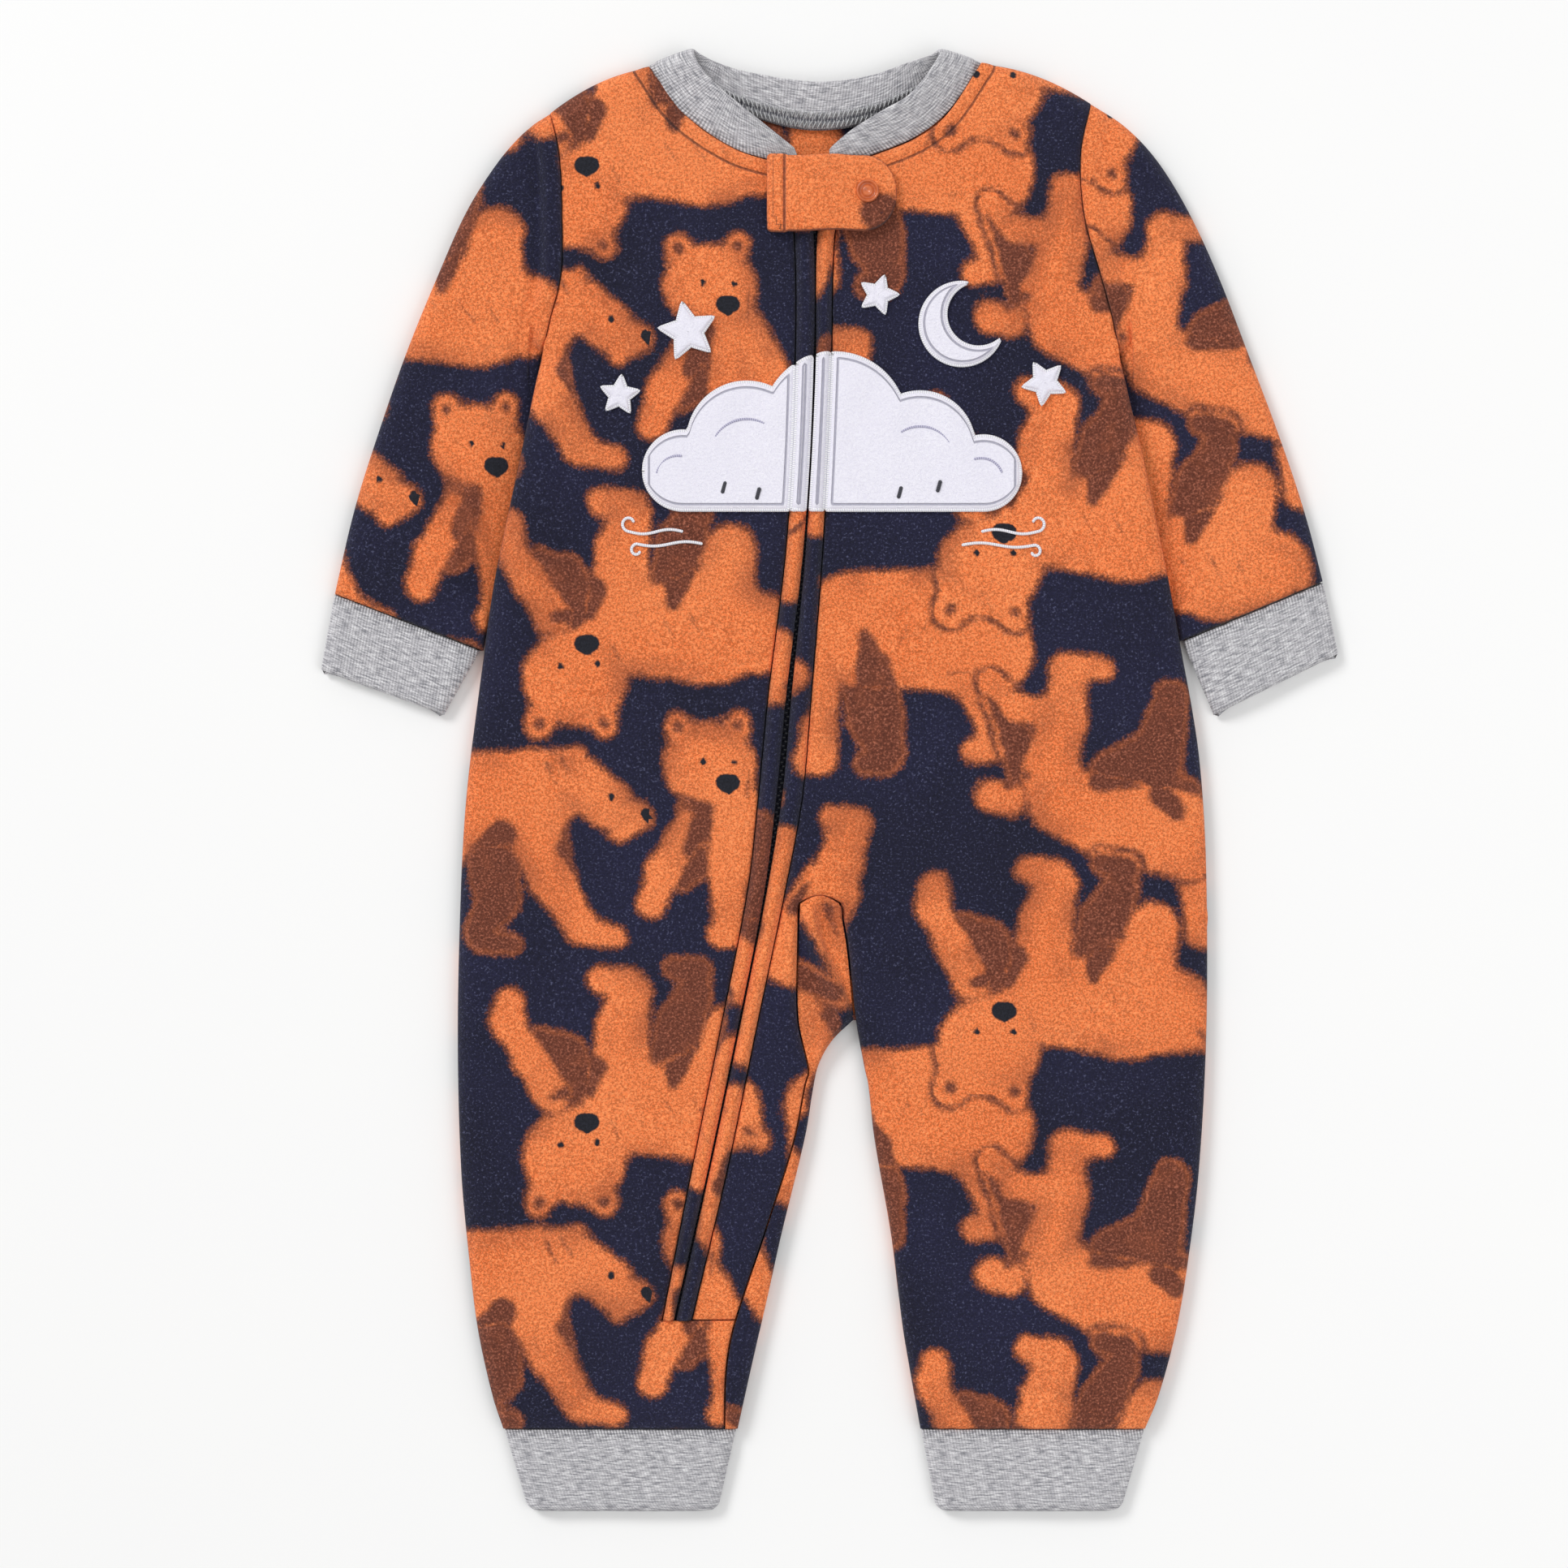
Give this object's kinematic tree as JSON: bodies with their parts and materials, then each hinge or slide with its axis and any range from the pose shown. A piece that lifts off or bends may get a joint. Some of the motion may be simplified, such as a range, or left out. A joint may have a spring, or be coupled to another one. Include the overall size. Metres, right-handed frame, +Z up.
{
  "type": "baby onesie",
  "caption": "Footless fleece baby coverall laid flat: long sleeves, rib collar and cuffs, slanted two-way front zip with snap tab, appliqué on the chest.",
  "frame": {"origin": "centre of the plan bounding box, on the surface the garment lies on", "axes": "+Y towards the collar (longest), +Z up from the surface towards the front of the garment (shortest), +X towards the viewer's right"},
  "size_m": [0.418, 0.6, 0.0164],
  "materials": {
    "fleece": "short napped polyester fleece, matt, orange, brown and navy all-over animal print",
    "rib": "fine one-by-one rib knit, grey melange, matt",
    "felt": "pale lavender-white brushed fleece, matt, satin-stitched edges",
    "zip_tape": "woven navy tape with moulded teeth, matt",
    "zip_metal": "navy lacquered zinc, semi-gloss",
    "snap_enamel": "orange enamelled ring cap, satin",
    "snap_metal": "nickel-plated, satin"
  },
  "bodies": {
    "root": {"ankle_cuff_left": "rib", "ankle_cuff_right": "rib", "back": "fleece", "cloud_left": "felt", "cloud_on_welt_left": "felt", "cloud_on_welt_right": "felt", "cloud_right": "felt", "collar": "rib", "front_left": "fleece", "front_right": "fleece", "gusset": "fleece", "moon": "felt", "sleeve_left": "fleece", "sleeve_right": "fleece", "snap_cap": "snap_enamel", "snap_stud": "snap_metal", "snap_tab": "fleece", "star_left": "felt", "star_low": "felt", "star_right": "felt", "star_top": "felt", "wrist_cuff_left": "rib", "wrist_cuff_right": "rib", "zip_slider": "zip_metal", "zip_tape": "zip_tape", "zip_welt_left": "fleece", "zip_welt_right": "fleece"}
  },
  "joints": []
}
